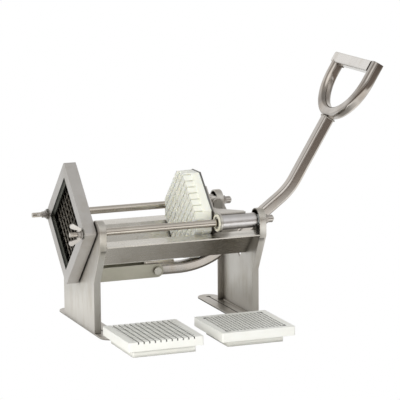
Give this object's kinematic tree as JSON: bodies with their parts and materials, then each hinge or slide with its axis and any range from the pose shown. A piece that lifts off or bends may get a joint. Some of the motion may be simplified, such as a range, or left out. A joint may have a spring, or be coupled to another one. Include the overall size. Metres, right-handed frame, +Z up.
{
  "type": "french fry cutter",
  "caption": "Lever-operated bench fry cutter: a handle and link drive a studded pusher on two rods through a diamond-set blade grid, with two spare pushers.",
  "frame": {"origin": "on the bench plane, midway between the four bench bolt holes in the feet", "axes": "+X along the guide rods from the blade frame to the handle, +Y to the far side of the picture, +Z up"},
  "size_m": [0.5781, 0.381, 0.4297],
  "materials": {
    "brushed_steel": "brushed stainless sheet",
    "polished_steel": "polished stainless bar and tube",
    "satin_steel": "satin stainless plate",
    "cast_frame": "satin cast aluminium",
    "blade_steel": "ground blade steel",
    "white_nylon": "white food-grade nylon",
    "bush_nylon": "cream nylon bush",
    "bronze": "plain bronze bush"
  },
  "bodies": {
    "stand": {"front_leg": "brushed_steel", "rear_leg": "brushed_steel", "front_foot": "satin_steel", "rear_foot": "satin_steel", "near_guide_rod": "polished_steel", "far_guide_rod": "polished_steel", "rear_cap_nuts": "polished_steel", "frame_washers": "polished_steel", "near_trough_wing": "brushed_steel", "far_trough_wing": "brushed_steel", "blade_frame": "cast_frame", "blade_cartridge": "blade_steel", "rising_blades": "blade_steel", "falling_blades": "blade_steel", "cartridge_screws": "polished_steel", "link_bracket": "brushed_steel", "anchor_pin": "polished_steel", "spare_pusher_medium": "white_nylon", "spare_pusher_fine": "white_nylon"},
    "near_nut": {"near_wing_nut": "polished_steel"},
    "far_nut": {"far_wing_nut": "polished_steel"},
    "carriage": {"pusher_block": "white_nylon", "backing_plate": "satin_steel", "pusher_screws": "polished_steel", "yoke_plate": "brushed_steel", "near_sleeve": "polished_steel", "far_sleeve": "polished_steel", "front_bushes": "bush_nylon", "rear_bushes": "bush_nylon", "bridge_plate": "brushed_steel", "pivot_arms": "brushed_steel", "pivot_bush": "bronze"},
    "link": {"near_link_bar": "brushed_steel", "far_link_bar": "brushed_steel", "link_washers": "bush_nylon", "elbow_bolt": "polished_steel", "elbow_nut": "polished_steel"},
    "lever": {"lever_tube": "polished_steel", "lever_end_plug": "polished_steel", "elbow_bush": "bronze", "lever_lugs": "brushed_steel", "pivot_bolts": "polished_steel", "lever_rib": "polished_steel", "handle_bow": "polished_steel", "handle_bar": "satin_steel"}
  },
  "joints": [
    {"name": "carriage_slide", "type": "slide", "parent": "stand", "child": "carriage", "axis": [-1, 0, 0], "range_m": [0, 0.1785]},
    {"name": "link_swing", "type": "hinge", "parent": "stand", "child": "link", "pos_m": [-0.127, 0, 0.0855], "axis": [0, 1, 0], "range_deg": [0, 19]},
    {"name": "lever_swing", "type": "hinge", "parent": "link", "child": "lever", "pos_m": [-0.012, 0, 0.0855], "axis": [0, -1, 0], "range_deg": [0, 89]},
    {"name": "near_nut_turn", "type": "hinge", "parent": "stand", "child": "near_nut", "pos_m": [-0.178, -0.095, 0.176], "axis": [-1, 0, 0], "continuous": true},
    {"name": "far_nut_turn", "type": "hinge", "parent": "stand", "child": "far_nut", "pos_m": [-0.178, 0.095, 0.176], "axis": [-1, 0, 0], "continuous": true}
  ],
  "couplings": [
    {"joint": "link_swing", "follows": "carriage_slide", "rad_per_m": 1.7764},
    {"joint": "lever_swing", "follows": "carriage_slide", "rad_per_m": 8.6182}
  ]
}
